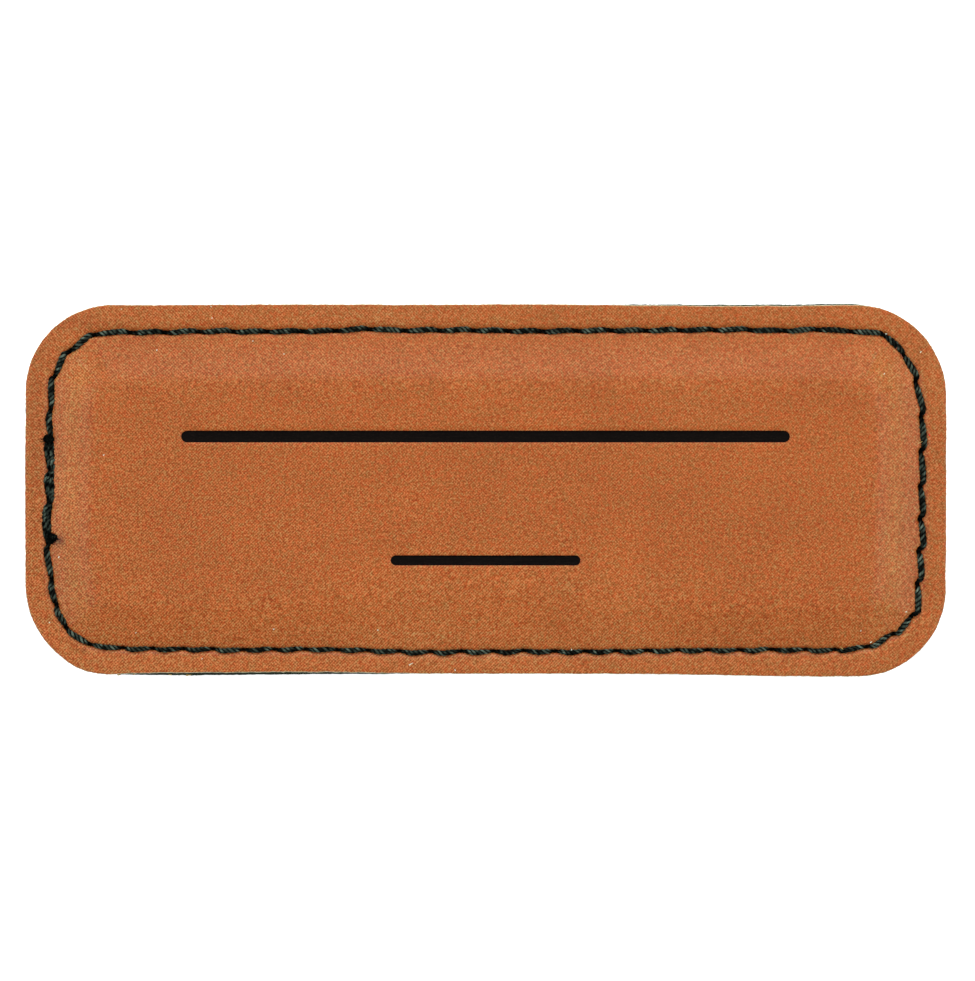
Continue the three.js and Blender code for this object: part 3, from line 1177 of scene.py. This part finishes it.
def with_cut_wall(look, base, grain, dark, pale, skin=None):
    """Adds the fibrous wall where a sheet is cut, with a pale layer under its skin if it has one.
    Returns the colour and the height of its bump."""
    cut = look.value("cut")
    fibres = look.grain(3, 0.6, (0.5, 0.5, 0.07))
    edge = look.mix(fibres, colour(*dark), colour(*pale))
    if skin:
        edge = look.mix(look.remap(look.value("skin"), 0.6, 0.8), edge, colour(*skin))
    return look.mix(cut, base, edge), look.plus(grain, look.times(look.times(fibres, cut), 2.0))


def face_material():
    look = Look("leatherette_face")
    along, up, _ = look.add("SeparateXYZ", {0: look.place})
    contrast = look.times(look.remap(along, -20, 15, 0.94, 1.02), look.remap(up, -2, 13, 1.0, 0.84))
    grain = leatherette_grain(look, look.remap(along, -41, 15, 1.75, 1.0))
    grain = look.plus(look.times(look.plus(grain, -0.5), contrast), 0.5)
    grain = look.plus(grain, look.times(weave(look, along, up), WEAVE_SHARE))
    tone = {name: scaled_colour(rgb, FACE_LIGHT) for name, rgb in FACE_TONES.items()}
    low = look.mix(look.remap(grain, 0.0, 0.5), tone["dark"], tone["middle"])
    base = look.mix(look.remap(grain, 0.5, 1.0), low, tone["bright"])
    hue = look.grain(2, 0.6, (0.22, 0.22, 0.22))
    base = look.tinted(base, look.mix(look.remap(hue, 0.3, 0.7), TINTS["red"], TINTS["green"]))
    cloud = look.grain(3, 0.55, (7, 5, 5))
    base = look.tinted(base, look.grey(look.remap(cloud, 0.3, 0.7, 0.94, 1.06)))

    # Painted shade beside the seam's thread, partly a needle stain.
    seam = look.value("seam")
    beside = look.times(look.remap(seam, -0.5, -0.25, 0.0, 1.0), look.remap(seam, -0.1, 0.1, 1.0, 0.0))
    base = look.tinted(base, TINTS["beside"], beside)
    # Painted shade in the needle holes, near black.
    hole = look.remap(look.value("hole"), 0.14, 0.26, 0.95, 0.0)
    base = look.mix(hole, base, scaled_colour((26, 14, 8), FACE_LIGHT))
    # Painted shadows beside the knots and painted shade between the doubled threads, and darker spots and
    # patches.
    base = look.mix(look.value("shadows_and_dark_spots"), base, scaled_colour((60, 26, 12), FACE_LIGHT))
    # Painted sheen at the pad's ends and on the margin and slope, and painted highlights.
    for label in ("painted_end_sheen", "pale", "painted_highlights"):
        base = look.tinted(base, TINTS[label], look.value(label))
    base, height = with_cut_wall(look, base, grain, (34, 30, 25), (92, 82, 66), (174, 176, 124))
    return look.finish(
        Base_Color=base,
        Roughness=look.remap(grain, 0, 1, 0.5, 0.38),
        Normal=look.bump(height, 0.015, 0.8),
        IOR=1.46,
        Specular_IOR_Level=0.05,
        Coat_Weight=0.2,
        Coat_Roughness=0.4,
    )


def engraving_material():
    """Leatherette burnt dark by the engraver, with the fine lines of its sweeps."""
    look = Look("leatherette_engraved")
    sweep = look.grain(1, 0.5, (1.5, 0.09, 0.3))
    ash = look.grain(2, 0.6, (0.25, 0.12, 0.2))
    base = look.mix(sweep, colour(3, 2, 2), colour(15, 11, 9))
    base = look.mix(look.remap(ash, 0.55, 0.8, 0, 0.5), base, colour(30, 22, 17))
    return look.finish(
        Base_Color=base,
        Roughness=look.remap(ash, 0.3, 0.7, 0.95, 0.8),
        Normal=look.bump(sweep, 0.02, 0.8),
        IOR=1.46,
        Specular_IOR_Level=0.05,
    )


def backing_material():
    look = Look("leatherette_back")
    grain = leatherette_grain(look, 1.3)
    base = look.mix(grain, colour(14, 18, 15), colour(44, 52, 45))
    cloud = look.grain(3, 0.55, (6, 4, 4))
    base = look.mix(look.remap(cloud, 0.35, 0.7, 0, 0.35), base, colour(50, 56, 50))
    base, height = with_cut_wall(look, base, grain, (14, 20, 13), (54, 70, 48))
    return look.finish(
        Base_Color=base,
        Roughness=look.remap(grain, 0, 1, 0.75, 0.6),
        Normal=look.bump(height, 0.02, 0.8),
        IOR=1.46,
        Specular_IOR_Level=0.1,
    )


def thread_material():
    look = Look("thread")
    run = look.value("run")
    spot = look.vector(look.times(run, 1.6), look.times(look.value("around"), 9.0))
    fibres = look.noise(3, 0.65, spot)
    base = look.mix(look.remap(fibres, 0.35, 0.7), colour(27, 35, 30), colour(106, 122, 107))
    # Painted light: highlights on the plies' crests and where each stitch catches the light, glints that
    # come and go along each ply, and painted shade between the plies and in the holes.
    patch = look.noise(1, 0.5, look.vector(look.times(run, 1.9), look.value("ply")))
    crest = look.remap(look.value("crest"), 0.86, 1.05)
    shade = look.times(look.times(look.value("glow"), crest), look.remap(patch, 0.4, 0.6, 0.1, 1.25))
    return look.finish(
        Base_Color=look.tinted(base, look.grey(shade)),
        Roughness=look.remap(fibres, 0.3, 0.7, 0.6, 0.45),
        Normal=look.bump(fibres, 0.02, 0.8),
        IOR=1.5,
        Specular_IOR_Level=0.02,
    )


def lint_material(tone):
    look = Look("lint_" + tone)
    streaks = look.grain(2, 0.6, (0.05, 0.05, 0.05))
    base = look.mix(streaks, *(scaled_colour(LINT_TONES[tone], share) for share in (0.55, 1.0)))
    return look.finish(
        Base_Color=base,
        Roughness=look.remap(streaks, 0.3, 0.7, 0.8, 0.6),
        Normal=look.bump(streaks, 0.01, 0.5),
        IOR=1.5,
        Specular_IOR_Level=0.2,
    )


def bar_material():
    look = Look("fastener")
    fine = look.grain(2, 0.6, (0.15, 0.15, 0.15))
    cloud = look.grain(3, 0.6, (5, 5, 5))
    base = look.mix(look.remap(cloud, 0.35, 0.7), colour(28, 29, 31), colour(38, 39, 41))
    return look.finish(
        Base_Color=base,
        Roughness=look.remap(cloud, 0.3, 0.7, 0.42, 0.55),
        Normal=look.bump(fine, 0.01, 0.6),
        IOR=1.5,
    )


def floor_material():
    look = Look("pale_floor")
    faint = look.grain(3, 0.5, (40, 40, 40))
    return look.finish(
        Base_Color=look.mix(faint, (0.9, 0.9, 0.9, 1), (0.93, 0.93, 0.93, 1)),
        Roughness=0.9,
        Emission_Color=(1, 1, 1, 1),
        Emission_Strength=FLOOR_GLOW,
    )


def make_camera():
    """Straight down on the badge's face, with the photograph's framing."""
    long_side = max(PHOTO_WIDTH_PX, PHOTO_HEIGHT_PX) * MM_PER_PX
    height = MARGIN_TOP + CAMERA_LENS * long_side / CAMERA_SENSOR
    x, y = photo_point(PHOTO_WIDTH_PX / 2, PHOTO_HEIGHT_PX / 2)
    data = bpy.data.cameras.new("camera")
    data.lens = CAMERA_LENS
    data.sensor_width = CAMERA_SENSOR
    data.clip_start, data.clip_end = CAMERA_CLIP
    camera = new_object("camera", data)
    camera.location = (x * MM, y * MM, height * MM)
    bpy.context.scene.camera = camera


def add_light(name, azimuth, elevation, distance, size, power):
    """A soft square light that faces the badge. Azimuth 0 is towards +X and 90 towards +Y."""
    data = bpy.data.lights.new(name, "AREA")
    data.size = size
    data.energy = power
    light = new_object(name, data)
    a, e = math.radians(azimuth), math.radians(elevation)
    way = np.array([math.cos(e) * math.cos(a), math.cos(e) * math.sin(a), math.sin(e)])
    light.location = way * distance
    light.rotation_euler = (math.pi / 2 - e, 0, a + math.pi / 2)


def make_light():
    for light in LIGHTS:
        add_light(**light)
    look = Look("world", "worlds", "Background")
    _, _, up = look.add("SeparateXYZ", {0: look.add("TexCoord", {})["Generated"]})
    strength = look.remap(up, *WORLD_LEVELS, *WORLD_STRENGTHS)
    bpy.context.scene.world = look.finish(Strength=strength, Color=(1, 1, 1, 1))
    bpy.context.scene.view_settings.view_transform = "Standard"


def make_floor():
    half = FLOOR_SIZE / 2 / MM
    corners = [(-half, -half, 0), (half, -half, 0), (half, half, 0), (-half, half, 0)]
    floor = make_object("floor", corners, [[0, 1, 2, 3]], floor_material())


make_camera()
make_light()
make_floor()

face = make_front_panel(face_material(), engraving_material())
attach(face, "root")
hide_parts("front_panel")

backing = make_backing(backing_material())
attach(backing, "root")
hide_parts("backing")

bar = make_bar(bar_material())
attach(bar, "root")
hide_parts("magnet_bar")

for thread in make_threads(thread_material()):
    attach(thread, "root")

for specks in make_lint({tone: lint_material(tone) for tone in LINT_TONES}):
    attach(specks, "root")
